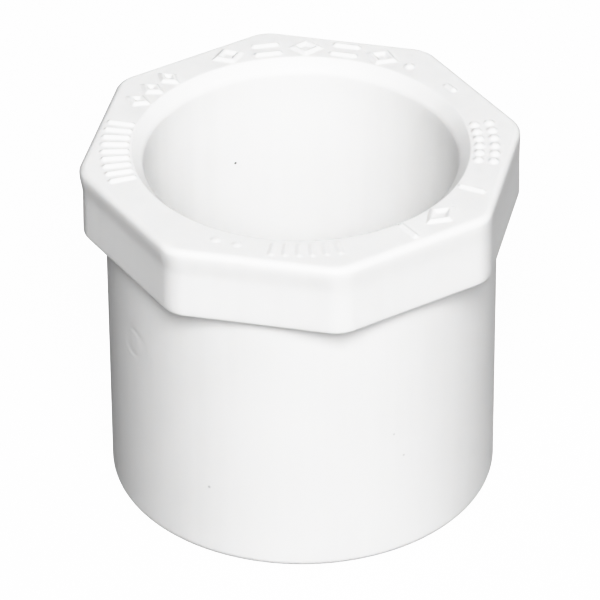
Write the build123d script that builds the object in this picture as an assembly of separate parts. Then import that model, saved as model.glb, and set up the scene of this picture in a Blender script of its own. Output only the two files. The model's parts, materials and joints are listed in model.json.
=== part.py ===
from build123d import *

import math
import os

# A reducer bushing for plastic pipe, moulded in one piece. Its spigot goes into a
# 1 inch fitting and its socket takes 3/4 inch pipe on the same axis.
# Millimetres. The origin is the centre of the spigot's end face, and +Z runs up
# the axis and out of the socket's mouth.

# Spigot: the outside of 1 inch pipe.
SPIGOT_R = 33.40 / 2
SPIGOT_LENGTH = 25.40
SPIGOT_TIP_ROUND = 0.6

# Collar: an octagon, with a flat side towards +X and a flat side towards +Y.
COLLAR_HEIGHT = 6.60
COLLAR_ACROSS_FLATS = 35.40
COLLAR_CORNER_ROUND = 3.0
COLLAR_TOP_ROUND = 0.5
COLLAR_UNDER_ROUND = 0.2

# Socket for 3/4 inch pipe, with a chamfered mouth and a stop at the bottom.
SOCKET_R = 26.72 / 2
SOCKET_DEPTH = 25.40
MOUTH_CHAMFER = 1.0
STOP_THICKNESS = 3.20
WATERWAY_R = 20.93 / 2
WATERWAY_EDGE_ROUND = 0.4

# Recess under the stop, open at the spigot's end, which keeps the wall even.
RECESS_R = 26.0 / 2
RECESS_EDGE_ROUND = 0.4

OVERALL_HEIGHT = SPIGOT_LENGTH + COLLAR_HEIGHT
SOCKET_STOP_Z = OVERALL_HEIGHT - SOCKET_DEPTH
RECESS_DEPTH = SOCKET_STOP_Z - STOP_THICKNESS

# Raised marks on the collar's top face: plain shapes that carry no lettering.
MARK_CIRCLE_R = 15.75
MARK_STROKE = 0.50
MARK_RELIEF = 0.25
FAINT_RELIEF = 0.12
MARK_ROOT = 0.20
DOT_R = 0.40
LOZENGE_TALL = 2.4

# Each group: first and last bearing in degrees from +X, how many marks, their
# shape, their length, how far they lie outside the circle of marks, and how far
# they stand up. A bar points at the axis, and a dash runs along the rim.
MARK_GROUPS = [
    (211, 179, 9, "bar", 2.4, 0, MARK_RELIEF),
    (165, 149, 3, "lozenge", 1.7, 0, MARK_RELIEF),
    (126, 76, 3, "lozenge", 2.9, 0, MARK_RELIEF),
    (113.5, 88.5, 2, "dash", 2.4, 0.7, MARK_RELIEF),
    (113.5, 88.5, 2, "dash", 2.4, -0.7, MARK_RELIEF),
    (66, 66, 1, "dot", 0, 0, MARK_RELIEF),
    (48, 48, 1, "dash", 1.4, 0, MARK_RELIEF),
    (25, 4, 6, "dot", 0, 0.65, MARK_RELIEF),
    (25, 4, 6, "dot", 0, -0.65, MARK_RELIEF),
    (-12.5, -12.5, 1, "bar", 2.4, 0, MARK_RELIEF),
    (-30, -30, 1, "lozenge", 3.4, 0, MARK_RELIEF),
    (-43, -43, 1, "bar", 2.4, 0, MARK_RELIEF),
    (-66, -86, 6, "bar", 1.9, 0, FAINT_RELIEF),
    (-97, -104, 2, "dot", 0, 0, FAINT_RELIEF),
]


def disc(radius, bottom, height):
    """A round solid on the axis, from one height up."""
    return Pos(0, 0, bottom) * Cylinder(
        radius, height, align=(Align.CENTER, Align.CENTER, Align.MIN)
    )


def spigot():
    """The round barrel that goes into the larger fitting, with a rounded tip."""
    barrel = disc(SPIGOT_R, 0, SPIGOT_LENGTH)
    tip = barrel.edges().filter_by(GeomType.CIRCLE).sort_by(Axis.Z)[0]
    return fillet(tip, SPIGOT_TIP_ROUND)


def collar():
    """The octagonal collar that stops the spigot and gives a grip."""
    outline = RegularPolygon(COLLAR_ACROSS_FLATS / 2, 8, major_radius=False, rotation=22.5)
    outline = fillet(outline.vertices(), COLLAR_CORNER_ROUND)
    block = Pos(0, 0, SPIGOT_LENGTH) * extrude(outline, COLLAR_HEIGHT)
    block = fillet(block.edges().group_by(Axis.Z)[-1], COLLAR_TOP_ROUND)
    return fillet(block.edges().group_by(Axis.Z)[0], COLLAR_UNDER_ROUND)


def socket():
    """The room inside the socket, widening at the mouth's chamfer."""
    bore = disc(SOCKET_R, SOCKET_STOP_Z, SOCKET_DEPTH)
    mouth = Pos(0, 0, OVERALL_HEIGHT - MOUTH_CHAMFER) * Cone(
        SOCKET_R, SOCKET_R + MOUTH_CHAMFER, MOUTH_CHAMFER, align=(Align.CENTER, Align.CENTER, Align.MIN)
    )
    return bore + mouth


def waterway():
    """The hole through the stop, with its upper edge rounded."""
    hole = disc(WATERWAY_R, RECESS_DEPTH, STOP_THICKNESS)
    round_centre = SOCKET_STOP_Z - WATERWAY_EDGE_ROUND
    ring = disc(WATERWAY_R + WATERWAY_EDGE_ROUND, round_centre, WATERWAY_EDGE_ROUND)
    edge = Pos(0, 0, round_centre) * Torus(WATERWAY_R + WATERWAY_EDGE_ROUND, WATERWAY_EDGE_ROUND)
    return hole + (ring - edge)


def recess():
    """The room under the stop, with its open edge rounded."""
    room = disc(RECESS_R, 0, RECESS_DEPTH)
    ring = disc(RECESS_R + RECESS_EDGE_ROUND, 0, RECESS_EDGE_ROUND)
    edge = Pos(0, 0, RECESS_EDGE_ROUND) * Torus(RECESS_R + RECESS_EDGE_ROUND, RECESS_EDGE_ROUND)
    return room + (ring - edge)


def lozenge(length):
    """The outline of a lozenge, with its length along the rim."""
    half_tall = LOZENGE_TALL / 2
    half_long = length / 2
    outer = Polygon((half_tall, 0), (0, half_long), (-half_tall, 0), (0, -half_long))
    depth = half_tall * half_long / math.hypot(half_tall, half_long)
    return outer - scale(outer, by=1 - MARK_STROKE / depth)


def mark_shape(kind, length):
    """One flat mark, with X away from the axis and Y along the rim."""
    if kind == "bar":
        return SlotOverall(length, MARK_STROKE)
    if kind == "dash":
        return SlotOverall(length, MARK_STROKE, rotation=90)
    if kind == "dot":
        return Circle(DOT_R)
    return lozenge(length)


def marks():
    """Every raised mark, each rooted a little below the top face."""
    solids = []
    for first, last, count, kind, length, outside, relief in MARK_GROUPS:
        shape = extrude(mark_shape(kind, length), MARK_ROOT + relief)
        for index in range(count):
            bearing = first + (last - first) * index / max(count - 1, 1)
            place = Pos(MARK_CIRCLE_R + outside, 0, OVERALL_HEIGHT - MARK_ROOT)
            solids.append(Rot(0, 0, bearing) * place * shape)
    return solids


def reducer_bushing():
    """The whole moulding, one solid."""
    body = spigot() + collar()
    body = body - socket() - waterway() - recess()
    for mark in marks():
        body = body + mark
    return body


os.makedirs("parts", exist_ok=True)
export_step(reducer_bushing(), "parts/reducer_bushing.step")
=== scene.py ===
import json
import math

import bpy
import numpy as np
from mathutils import Matrix, Vector


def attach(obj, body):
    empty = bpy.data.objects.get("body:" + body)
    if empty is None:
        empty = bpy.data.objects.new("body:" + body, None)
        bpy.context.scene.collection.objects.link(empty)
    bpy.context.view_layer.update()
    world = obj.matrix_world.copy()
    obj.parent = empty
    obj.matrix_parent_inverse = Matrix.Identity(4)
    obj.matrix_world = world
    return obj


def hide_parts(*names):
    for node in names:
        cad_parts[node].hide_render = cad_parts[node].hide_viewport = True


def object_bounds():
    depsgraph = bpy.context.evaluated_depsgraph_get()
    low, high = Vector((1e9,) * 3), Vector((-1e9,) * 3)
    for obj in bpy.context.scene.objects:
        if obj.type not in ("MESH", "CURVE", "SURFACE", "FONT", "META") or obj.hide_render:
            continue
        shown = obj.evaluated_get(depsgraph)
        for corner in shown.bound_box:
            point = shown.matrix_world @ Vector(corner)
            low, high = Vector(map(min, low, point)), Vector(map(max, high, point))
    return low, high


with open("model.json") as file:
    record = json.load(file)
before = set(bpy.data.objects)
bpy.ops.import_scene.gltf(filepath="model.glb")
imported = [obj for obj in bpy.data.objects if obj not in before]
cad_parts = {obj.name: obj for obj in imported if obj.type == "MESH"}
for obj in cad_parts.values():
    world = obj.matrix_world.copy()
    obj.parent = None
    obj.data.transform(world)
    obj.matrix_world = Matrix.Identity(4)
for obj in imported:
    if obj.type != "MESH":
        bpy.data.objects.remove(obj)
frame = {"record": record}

# A one-piece white PVC reducer bushing: a round spigot below an octagonal collar,
# with a smaller socket on the same axis. Metres, in the frame of the CAD part.
MM = 0.001
cad_low, cad_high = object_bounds()
mounts = {mount["name"]: mount for mount in frame["record"]["mounts"]}

# Sizes from the frame.
SPIGOT_R = mounts["spigot"]["dims"]["r_mm"] * MM
SOCKET_R = mounts["pipe_socket"]["dims"]["r_mm"] * MM
SHOULDER_Z = mounts["collar_shoulder"]["pos_m"][2]
STOP_Z = mounts["socket_stop"]["pos_m"][2]
HALF_FLATS = (cad_high.x - cad_low.x) / 2

# Sizes of the moulded details.
MARK_RELIEF = 0.25 * MM
FAINT_RELIEF = 0.12 * MM
TOP_Z = cad_high.z - MARK_RELIEF
MOUTH_CHAMFER = 1.0 * MM
CHAMFER_EDGE_ROUND = 0.3 * MM
CHAMFER_FOOT_ROUND = 1.0 * MM
CORNER_ROUND = 3.0 * MM
RIM_ROUND = 0.6 * MM
UNDER_ROUND = 0.3 * MM
ROOT_ROUND = 0.15 * MM
TIP_ROUND = 0.6 * MM
WATERWAY_R = 10.465 * MM
RECESS_R = 13.0 * MM
RECESS_DEPTH = 3.4 * MM
SMALL_ROUND = 0.3 * MM

# How far from a chamfer's edge its rounding starts, for a radius of one.
CHAMFER_SETBACK = math.tan(math.radians(22.5))
MOUTH_R = SOCKET_R + MOUTH_CHAMFER + CHAMFER_EDGE_ROUND * CHAMFER_SETBACK

# The collar's sides draw in under the rim, and below the parting line at the rim
# they are moulded a little out of line with the top, towards this bearing.
SINK_DEPTH = 0.14 * MM
SINK_FOOT = 0.10 * MM
SINK_START = 2.0 * MM
MISMATCH = 0.10 * MM
MISMATCH_BEARING = 13.0

# The scar of the moulding gate on the barrel: a shallow ring.
GATE_BEARING = -135.5
GATE_Z = 18.0 * MM
GATE_R = 1.25 * MM
GATE_WIDTH = 0.45 * MM
GATE_DEPTH = 0.04 * MM

# Columns of the mesh round the axis. Where the marks and corners are, each coarse
# one is split into fine ones.
SPLIT = 4
COARSE = 256
FINE = SPLIT * COARSE

# Rows of the mesh on each stretch of the section.
SOCKET_ROWS = 12
TOP_ROWS = 36
RIM_ROWS = 6
SIDE_ROWS = 17
UNDER_ROWS = 4
ROOT_ROWS = 4
ABOVE_GATE_ROWS = 4
GATE_ROWS = 25
BELOW_GATE_ROWS = 11

# Shares of the way in under the collar where the shoulder's rows lie.
SHOULDER_SHARES = (0.15, 0.6, 1)


# ---------------------------------------------------------------- outlines

def column_angles(columns):
    """Evenly spaced bearings round the axis."""
    return np.arange(columns) * (2 * math.pi / columns)


def octagon(bearing, half_flats, corner):
    """Distance from the axis to a rounded octagon, at each bearing."""
    eighth = math.pi / 8
    off = np.abs((bearing + eighth) % (2 * eighth) - eighth)
    reach = (half_flats - corner) / math.cos(eighth)
    across = reach * np.sin(eighth - off)
    arc = reach * np.cos(eighth - off) + np.sqrt(np.maximum(corner**2 - across**2, 0))
    tangent = math.atan2((half_flats - corner) * math.tan(eighth), half_flats)
    return np.where(off <= tangent, half_flats / np.cos(off), arc)


def ring(radius, height, columns):
    """One closed row of points: a distance from the axis and a height for each."""
    bearing = column_angles(columns)
    radius = np.broadcast_to(radius, columns)
    height = np.broadcast_to(height, columns)
    return np.stack([radius * np.cos(bearing), radius * np.sin(bearing), height], 1)


def collar_ring(inset, height):
    """A row on the collar, parallel to its outline and this far inside it."""
    bearing = column_angles(FINE)
    return ring(octagon(bearing, HALF_FLATS - inset, CORNER_ROUND - inset), height, FINE)


def arc_rings(centre_r, centre_z, radius, first, last, steps):
    """Rows round a rounded edge: degrees from outwards, up through 90."""
    rows = []
    for step in range(steps + 1):
        angle = math.radians(first + (last - first) * step / steps)
        rows.append(
            ring(centre_r + radius * math.cos(angle), centre_z + radius * math.sin(angle), COARSE)
        )
    return rows


def smooth(low, high, value):
    """0 below low, 1 above high, and a soft curve between."""
    share = np.clip((value - low) / (high - low), 0, 1)
    return share * share * (3 - 2 * share)


# ---------------------------------------------------------------- raised marks

# In millimetres.
MARK_CIRCLE_R = 15.75
MARK_STROKE = 0.50
MARK_SLOPE = 0.40
DOT_R = 0.40
LOZENGE_TALL = 2.4

# Plain shapes that carry no lettering. Each group, in millimetres and degrees:
# first and last bearing, how many, shape, length, how far outside the circle of
# marks, and how far they stand up.
MARK_GROUPS = [
    (211, 179, 9, "bar", 2.4, 0, MARK_RELIEF),
    (165, 149, 3, "lozenge", 1.7, 0, MARK_RELIEF),
    (126, 76, 3, "lozenge", 2.9, 0, MARK_RELIEF),
    (113.5, 88.5, 2, "dash", 2.4, 0.7, MARK_RELIEF),
    (113.5, 88.5, 2, "dash", 2.4, -0.7, MARK_RELIEF),
    (66, 66, 1, "dot", 0, 0, MARK_RELIEF),
    (48, 48, 1, "dash", 1.4, 0, MARK_RELIEF),
    (25, 4, 6, "dot", 0, 0.65, MARK_RELIEF),
    (25, 4, 6, "dot", 0, -0.65, MARK_RELIEF),
    (-12.5, -12.5, 1, "bar", 2.4, 0, MARK_RELIEF),
    (-30, -30, 1, "lozenge", 3.4, 0, MARK_RELIEF),
    (-43, -43, 1, "bar", 2.4, 0, MARK_RELIEF),
    (-66, -86, 6, "bar", 1.9, 0, FAINT_RELIEF),
    (-97, -104, 2, "dot", 0, 0, FAINT_RELIEF),
]


def pill(along, across, length):
    """Distance outside a round-ended stroke that lies along the first axis."""
    straight = (length - MARK_STROKE) / 2
    return np.hypot(np.maximum(np.abs(along) - straight, 0), across) - MARK_STROKE / 2


def lozenge(outward, sideways, length):
    """Distance outside a lozenge's outline stroke."""
    half_tall = LOZENGE_TALL / 2
    half_long = length / 2
    slope = half_tall * half_long / math.hypot(half_tall, half_long)
    edge = (np.abs(outward) / half_tall + np.abs(sideways) / half_long - 1) * slope
    return np.abs(edge + MARK_STROKE / 2) - MARK_STROKE / 2


def mark_distance(kind, outward, sideways, length):
    """Distance outside one mark's outline, at a place given from its centre."""
    if kind == "bar":
        return pill(outward, sideways, length)
    if kind == "dash":
        return pill(sideways, outward, length)
    if kind == "dot":
        return np.hypot(outward, sideways) - DOT_R
    return lozenge(outward, sideways, length)


def relief(x, y):
    """How far the marks stand above the top face, with soft moulded edges."""
    height = np.zeros_like(x)
    for first, last, count, kind, length, outside, tall in MARK_GROUPS:
        for index in range(count):
            bearing = math.radians(first + (last - first) * index / max(count - 1, 1))
            outward = (x * math.cos(bearing) + y * math.sin(bearing)) / MM
            sideways = (y * math.cos(bearing) - x * math.sin(bearing)) / MM
            outward = outward - MARK_CIRCLE_R - outside
            gap = mark_distance(kind, outward, sideways, length)
            rise = 1 - smooth(-MARK_STROKE / 2, MARK_SLOPE - MARK_STROKE / 2, gap)
            height = np.maximum(height, tall * rise)
    return height


# ---------------------------------------------------------------- the moulding's rows

def socket_rows():
    """Up the socket's wall from the stop, and out over the mouth's chamfer."""
    foot_r = SOCKET_R + CHAMFER_FOOT_ROUND
    foot_z = TOP_Z - MOUTH_CHAMFER - CHAMFER_FOOT_ROUND * CHAMFER_SETBACK
    edge_z = TOP_Z - CHAMFER_EDGE_ROUND
    rows = arc_rings(
        SOCKET_R - SMALL_ROUND, STOP_Z + SMALL_ROUND, SMALL_ROUND, -90, 0, steps=4
    )
    for height in np.linspace(STOP_Z + 2 * SMALL_ROUND, foot_z - SMALL_ROUND, SOCKET_ROWS):
        rows.append(ring(SOCKET_R, height, COARSE))
    rows += arc_rings(foot_r, foot_z, CHAMFER_FOOT_ROUND, 180, 135, steps=7)
    rows += arc_rings(MOUTH_R, edge_z, CHAMFER_EDGE_ROUND, 135, 90, steps=5)
    return rows


def top_rows():
    """Out over the top face, from the mouth to the rim, with its marks."""
    bearing = column_angles(FINE)
    outer = octagon(bearing, HALF_FLATS - RIM_ROUND, CORNER_ROUND - RIM_ROUND)
    rows = []
    for step in range(1, TOP_ROWS + 1):
        radius = MOUTH_R + (outer - MOUTH_R) * step / TOP_ROWS
        x = radius * np.cos(bearing)
        y = radius * np.sin(bearing)
        rows.append(ring(radius, TOP_Z + relief(x, y), FINE))
    return rows


def side_rows():
    """Round the rim, down the collar's eight sides and in to the barrel."""
    rows = []
    for step in range(1, RIM_ROWS + 1):
        angle = math.radians(90 * step / RIM_ROWS)
        inset = RIM_ROUND * (1 - math.sin(angle))
        rows.append(collar_ring(inset, TOP_Z - RIM_ROUND * (1 - math.cos(angle))))
    start = TOP_Z - RIM_ROUND
    end = SHOULDER_Z + UNDER_ROUND
    bearing = math.radians(MISMATCH_BEARING)
    aside = MISMATCH * np.array([math.cos(bearing), math.sin(bearing), 0])
    for height in np.linspace(start, end, SIDE_ROWS + 1)[1:]:
        depth = start - height
        sunk = smooth(0, SINK_START, depth)
        ease = smooth(SINK_START, start - end, depth)
        inset = SINK_DEPTH * sunk + (SINK_FOOT - SINK_DEPTH) * ease
        rows.append(collar_ring(inset, height) + aside * sunk)
    for step in range(1, UNDER_ROWS + 1):
        angle = math.radians(90 * step / UNDER_ROWS)
        inset = SINK_FOOT + UNDER_ROUND * (1 - math.cos(angle))
        rows.append(collar_ring(inset, end - UNDER_ROUND * math.sin(angle)) + aside)
    outer = rows[-1]
    inner = ring(SPIGOT_R + ROOT_ROUND, SHOULDER_Z, FINE)
    rows += [outer + (inner - outer) * share for share in SHOULDER_SHARES]
    return rows


def gate_mark(height):
    """How far the gate's scar sinks into the barrel, all round at one height."""
    turn = column_angles(COARSE) - math.radians(GATE_BEARING)
    turn = (turn + math.pi) % (2 * math.pi) - math.pi
    off = np.abs(np.hypot(turn * SPIGOT_R, height - GATE_Z) - GATE_R)
    return GATE_DEPTH * (1 - smooth(0, GATE_WIDTH, off))


def barrel_rows():
    """Out of the collar's root, down the barrel and round its tip."""
    rows = []
    for step in range(1, ROOT_ROWS + 1):
        angle = math.radians(90 * step / ROOT_ROWS)
        radius = SPIGOT_R + ROOT_ROUND * (1 - math.sin(angle))
        rows.append(ring(radius, SHOULDER_Z - ROOT_ROUND * (1 - math.cos(angle)), COARSE))
    top = SHOULDER_Z - 2 * ROOT_ROUND
    gate_top = GATE_Z + (GATE_R + GATE_WIDTH)
    gate_foot = GATE_Z - (GATE_R + GATE_WIDTH)
    foot = 1.2 * TIP_ROUND
    heights = [
        *np.linspace(top, gate_top, ABOVE_GATE_ROWS + 1)[:-1],
        *np.linspace(gate_top, gate_foot, GATE_ROWS),
        *np.linspace(gate_foot, foot, BELOW_GATE_ROWS + 1)[1:],
    ]
    for height in heights:
        rows.append(ring(SPIGOT_R - gate_mark(height), height, COARSE))
    rows += arc_rings(SPIGOT_R - TIP_ROUND, TIP_ROUND, TIP_ROUND, 0, -90, steps=8)
    return rows


def recess_rows():
    """Round the recess's open edge, up its wall and in under the stop."""
    roof_r = RECESS_R - SMALL_ROUND
    roof_z = RECESS_DEPTH - SMALL_ROUND
    rows = arc_rings(RECESS_R + SMALL_ROUND, SMALL_ROUND, SMALL_ROUND, 270, 180, steps=5)
    rows += arc_rings(roof_r, roof_z, SMALL_ROUND, 0, 90, steps=5)
    return rows


def waterway_rows():
    """Up through the waterway, with both of its edges rounded."""
    centre_r = WATERWAY_R + SMALL_ROUND
    rows = arc_rings(centre_r, RECESS_DEPTH + SMALL_ROUND, SMALL_ROUND, 270, 180, steps=5)
    rows += arc_rings(centre_r, STOP_Z - SMALL_ROUND, SMALL_ROUND, 180, 90, steps=5)
    return rows


# ---------------------------------------------------------------- the mesh

def join_rows(first, first_start, second, second_start, faces):
    """Faces between two rows, with four fine columns to each coarse one."""
    if len(first) == len(second):
        columns = len(first)
        for column in range(columns):
            after = (column + 1) % columns
            faces.append((
                first_start + column,
                second_start + column,
                second_start + after,
                first_start + after,
            ))
        return
    widening = len(second) > len(first)
    starts = (first_start, second_start)
    coarse_start, fine_start = starts if widening else starts[::-1]
    for column in range(COARSE):
        near = coarse_start + column
        far = coarse_start + (column + 1) % COARSE
        fine = [fine_start + (SPLIT * column + step) % FINE for step in range(SPLIT + 1)]
        fan = [
            (near, fine[0], fine[1]),
            (near, fine[1], fine[2]),
            (near, fine[2], far),
            (far, fine[2], fine[3]),
            (far, fine[3], fine[4]),
        ]
        faces += fan if widening else [triangle[::-1] for triangle in fan]


def moulding():
    """The whole fitting as one closed mesh, row by row round its section."""
    rows = socket_rows()
    rows += top_rows()
    rows += side_rows()
    rows += barrel_rows()
    rows += recess_rows()
    rows += waterway_rows()
    starts = np.cumsum([0] + [len(row) for row in rows])
    faces = []
    for index, row in enumerate(rows):
        after = (index + 1) % len(rows)
        join_rows(row, int(starts[index]), rows[after], int(starts[after]), faces)
    mesh = bpy.data.meshes.new("reducer_bushing_moulding")
    mesh.from_pydata(np.concatenate(rows).tolist(), [], faces)
    mesh.shade_smooth()
    mesh.update()
    piece = bpy.data.objects.new("reducer_bushing_moulding", mesh)
    bpy.context.scene.collection.objects.link(piece)
    return piece


# ---------------------------------------------------------------- materials

def add(nodes, kind, **values):
    """A node of this kind, with its sockets and settings given by name."""
    node = nodes.new(kind)
    for name, value in values.items():
        if name in node.inputs:
            node.inputs[name].default_value = value
        else:
            setattr(node, name, value)
    return node


# Dark specks of stray pigment: bearing in degrees, the wall's distance from the
# axis in metres, height and size in millimetres, and how much of the white is left.
SPECKS = [
    (128.2, SOCKET_R, 22.5, 0.13, 0.12),
    (-105.8, SPIGOT_R, 7.1, 0.16, 0.72),
    (-46.5, SPIGOT_R, 10.1, 0.14, 0.80),
    (-49.8, SPIGOT_R, 12.6, 0.14, 0.82),
    (104.0, SPIGOT_R, 15.0, 0.14, 0.75),
    (31.0, SPIGOT_R, 6.0, 0.16, 0.80),
    (-160.0, SPIGOT_R, 11.5, 0.15, 0.78),
]


def noise(nodes, links, place, scale, detail, stretch=1.0):
    """Even noise of this many cells to the metre, drawn out along the axis by stretch."""
    mapping = add(nodes, "ShaderNodeMapping", Scale=(1, 1, 1 / stretch))
    cells = add(nodes, "ShaderNodeTexNoise", Scale=scale, Detail=detail)
    links.new(place, mapping.inputs["Vector"])
    links.new(mapping.outputs["Vector"], cells.inputs["Vector"])
    return cells.outputs["Fac"]


def spread(nodes, links, source, lows, highs):
    """A value from one range carried over to another, held at both ends."""
    carry = nodes.new("ShaderNodeMapRange")
    carry.inputs["From Min"].default_value, carry.inputs["From Max"].default_value = lows
    carry.inputs["To Min"].default_value, carry.inputs["To Max"].default_value = highs
    links.new(source, carry.inputs["Value"])
    return carry.outputs["Result"]


def times(nodes, links, first, second):
    """The product of two values."""
    product = add(nodes, "ShaderNodeMath", operation="MULTIPLY")
    links.new(first, product.inputs[0])
    links.new(second, product.inputs[1])
    return product.outputs["Value"]


def speck(nodes, links, place, spot):
    """1 away from one speck, and less inside it."""
    bearing, radius, height, size, left = spot
    turn = math.radians(bearing)
    gap = add(nodes, "ShaderNodeVectorMath", operation="DISTANCE")
    gap.inputs[1].default_value = (
        radius * math.cos(turn), radius * math.sin(turn), height * MM
    )
    links.new(place, gap.inputs[0])
    edge = (0.5 * size * MM, size * MM)
    return spread(nodes, links, gap.outputs["Value"], edge, (left, 1))


# The plastic. The noises' scales are in cells to the metre, and MID_NOISE is the
# range that most of their values lie in. Below the top face the grain fades to a share.
PVC_IOR = 1.53
PVC_WHITE = {"Red": 0.958, "Green": 0.956, "Blue": 0.952}
PVC_ROUGHNESS = (0.5, 0.62)
SCATTER_SHARE = 0.25
SCATTER_RADII = (1.0, 0.95, 0.9)
SCATTER_DEPTH = 0.8 * MM
MID_NOISE = (0.3, 0.7)
CLOUD_SCALE = 110.0
CLOUD_TONE = (0.975, 1)
STREAK_SCALE = 620.0
STREAK_STRETCH = 24.0
STREAK_TONE = (0.98, 1)
STREAK_RELIEF = 0.02 * MM
GRAIN_SCALE = 2400.0
GRAIN_RELIEF = 0.03 * MM
GRAIN_SHARE_BELOW = 0.25
GRAIN_FADE = 0.2 * MM


def pvc():
    """White rigid PVC: satin, with faint clouds, draw lines, a grained top face and specks."""
    material = bpy.data.materials.new("white_pvc")
    material.use_nodes = True
    nodes = material.node_tree.nodes
    links = material.node_tree.links
    shader = nodes["Principled BSDF"]
    shader.inputs["IOR"].default_value = PVC_IOR
    shader.inputs["Subsurface Weight"].default_value = SCATTER_SHARE
    shader.inputs["Subsurface Radius"].default_value = SCATTER_RADII
    shader.inputs["Subsurface Scale"].default_value = SCATTER_DEPTH
    place = nodes.new("ShaderNodeTexCoord").outputs["Object"]
    axes = nodes.new("ShaderNodeSeparateXYZ")
    links.new(place, axes.inputs["Vector"])

    cloud = noise(nodes, links, place, CLOUD_SCALE, detail=3.0)
    streak = noise(nodes, links, place, STREAK_SCALE, detail=2.0, stretch=STREAK_STRETCH)
    grain = noise(nodes, links, place, GRAIN_SCALE, detail=3.0)
    top_face = spread(
        nodes, links, axes.outputs["Z"], (TOP_Z - GRAIN_FADE, TOP_Z), (GRAIN_SHARE_BELOW, 1)
    )

    tone = times(
        nodes, links,
        spread(nodes, links, cloud, MID_NOISE, CLOUD_TONE),
        spread(nodes, links, streak, MID_NOISE, STREAK_TONE),
    )
    for spot in SPECKS:
        tone = times(nodes, links, tone, speck(nodes, links, place, spot))
    tint = nodes.new("ShaderNodeCombineColor")
    for channel, share in PVC_WHITE.items():
        links.new(spread(nodes, links, tone, (0, 1), (0, share)), tint.inputs[channel])
    links.new(tint.outputs["Color"], shader.inputs["Base Color"])

    gloss = spread(nodes, links, cloud, MID_NOISE, PVC_ROUGHNESS)
    links.new(gloss, shader.inputs["Roughness"])

    grained = add(nodes, "ShaderNodeBump", Strength=0.35, Distance=GRAIN_RELIEF)
    links.new(times(nodes, links, grain, top_face), grained.inputs["Height"])
    drawn = add(nodes, "ShaderNodeBump", Strength=0.25, Distance=STREAK_RELIEF)
    links.new(streak, drawn.inputs["Height"])
    links.new(grained.outputs["Normal"], drawn.inputs["Normal"])
    links.new(drawn.outputs["Normal"], shader.inputs["Normal"])
    return material


# How brightly the floor and the backdrop glow towards the camera, and how much
# of the light that falls on the floor it throws back.
WHITE = 1.25
FLOOR_GREY = 0.27
FLOOR_HALF = 3.0


def glow_to_camera(nodes, links, strength):
    """Makes a glow that the camera sees, but that lights nothing."""
    ray = nodes.new("ShaderNodeLightPath")
    glow = add(nodes, "ShaderNodeMath", operation="MULTIPLY")
    glow.inputs[1].default_value = WHITE
    links.new(ray.outputs["Is Camera Ray"], glow.inputs[0])
    links.new(glow.outputs["Value"], strength)


def pale_floor():
    """A plain surface, white to the camera, that lights the object as a grey table would."""
    material = bpy.data.materials.new("pale_floor")
    material.use_nodes = True
    nodes = material.node_tree.nodes
    links = material.node_tree.links
    shader = nodes["Principled BSDF"]
    shader.inputs["Base Color"].default_value = (FLOOR_GREY, FLOOR_GREY, FLOOR_GREY, 1)
    shader.inputs["Roughness"].default_value = 0.9
    shader.inputs["Emission Color"].default_value = (1, 1, 1, 1)
    glow_to_camera(nodes, links, shader.inputs["Emission Strength"])
    return material


# ---------------------------------------------------------------- stage, lights, camera

def floor():
    """A wide flat floor under the spigot's end."""
    mesh = bpy.data.meshes.new("floor")
    corners = [(-1, -1), (1, -1), (1, 1), (-1, 1)]
    corners = [(x * FLOOR_HALF, y * FLOOR_HALF, 0) for x, y in corners]
    mesh.from_pydata(corners, [], [(0, 1, 2, 3)])
    piece = bpy.data.objects.new("floor", mesh)
    bpy.context.scene.collection.objects.link(piece)
    piece.data.materials.append(pale_floor())


def direction(azimuth, elevation):
    """The way from the object towards a place, azimuth 0 being in front, at -Y."""
    turn = math.radians(azimuth)
    rise = math.radians(elevation)
    return Vector((
        math.sin(turn) * math.cos(rise),
        -math.cos(turn) * math.cos(rise),
        math.sin(rise),
    ))


# Each light: name, azimuth and elevation in degrees, size in metres, and watts.
LIGHTS = [
    ("key", 14, 45, 0.4, 9.1),
    ("low_front_fill", 30, 28, 0.5, 1.75),
    ("right_fill", 95, 25, 0.5, 0.7),
    ("back_right_fill", 148, 25, 0.5, 0.9),
    ("back_fill", 193, 7, 0.2, 1.6),
    ("back_left_fill", -150, 25, 0.5, 0.65),
]
LIGHT_DISTANCE = 0.9


def soft_light(name, azimuth, elevation, size, power):
    """A square light, large beside the object, that faces its middle."""
    data = bpy.data.lights.new(name, "AREA")
    data.size = size
    data.energy = power
    lamp = bpy.data.objects.new(name, data)
    way = direction(azimuth, elevation)
    lamp.location = Vector((0, 0, cad_high.z / 2)) + way * LIGHT_DISTANCE
    lamp.rotation_mode = "QUATERNION"
    lamp.rotation_quaternion = (-way).to_track_quat("-Z", "Y")
    bpy.context.scene.collection.objects.link(lamp)


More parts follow.
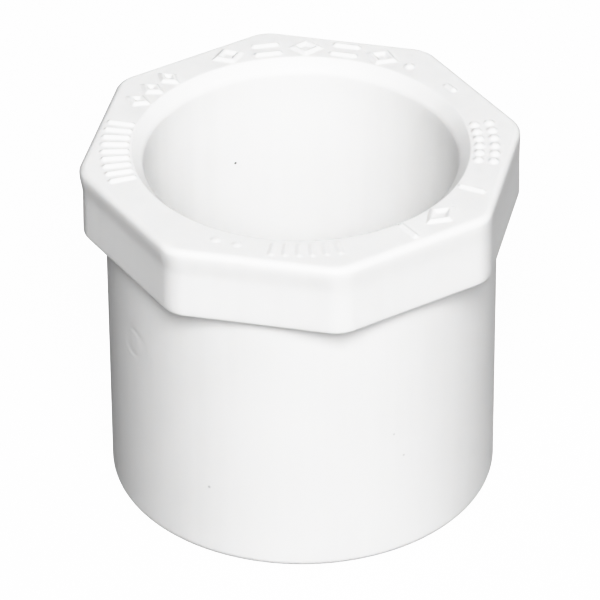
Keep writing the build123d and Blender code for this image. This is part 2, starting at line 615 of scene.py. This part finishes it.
def studio():
    """A soft key light by the camera, dimmer ones round the object, and a white backdrop."""
    for light in LIGHTS:
        soft_light(*light)
    world = bpy.data.worlds.new("studio")
    world.use_nodes = True
    nodes = world.node_tree.nodes
    background = nodes["Background"]
    background.inputs["Color"].default_value = (1, 1, 1, 1)
    glow_to_camera(nodes, world.node_tree.links, background.inputs["Strength"])
    bpy.context.scene.world = world


# The tone curve: brightness as a share of CURVE_WHITE, and what is shown for it.
CURVE_WHITE = 2
SHOULDER = [(0.35, 0.7), (0.425, 0.83), (0.5, 0.91), (0.6, 0.96), (0.75, 0.99)]


def exposure_curve():
    """Shown brightness rises evenly to 0.7, then levels off softly towards white."""
    view = bpy.context.scene.view_settings
    view.view_transform = "Standard"
    view.use_curve_mapping = True
    mapping = view.curve_mapping
    mapping.white_level = (CURVE_WHITE, CURVE_WHITE, CURVE_WHITE)
    combined = mapping.curves[3]
    for place in SHOULDER:
        combined.points.new(*place)
    mapping.update()


# The camera stands a little to the right of the front, looking down at the collar.
# Angles are in degrees, and the distance is in metres.
CAMERA_AZIMUTH = 12.8
CAMERA_ELEVATION = 34.52
CAMERA_DISTANCE = 0.457
CAMERA_ROLL = -0.40
CAMERA_LENS_MM = 317.7
CAMERA_SENSOR_MM = 36
CAMERA_AIM_Z = 16.0 * MM
CAMERA_AIM_RIGHT = -0.17 * MM
CAMERA_AIM_UP = 0.177 * MM


def camera():
    """The camera, long-lensed and looking down, aimed near the fitting's middle."""
    data = bpy.data.cameras.new("camera")
    data.sensor_width = CAMERA_SENSOR_MM
    data.lens = CAMERA_LENS_MM
    eye = bpy.data.objects.new("camera", data)
    way = direction(CAMERA_AZIMUTH, CAMERA_ELEVATION)
    roll = Matrix.Rotation(math.radians(CAMERA_ROLL), 4, "Z").to_quaternion()
    turn = (-way).to_track_quat("-Z", "Y") @ roll
    eye.rotation_mode = "QUATERNION"
    eye.rotation_quaternion = turn
    aim = Vector((0, 0, CAMERA_AIM_Z)) + turn @ Vector((CAMERA_AIM_RIGHT, CAMERA_AIM_UP, 0))
    eye.location = aim + way * CAMERA_DISTANCE
    bpy.context.scene.collection.objects.link(eye)
    bpy.context.scene.camera = eye


# ---------------------------------------------------------------- build

body = moulding()
body.data.materials.append(pvc())
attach(body, "root")
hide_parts("reducer_bushing")
floor()
studio()
camera()
exposure_curve()
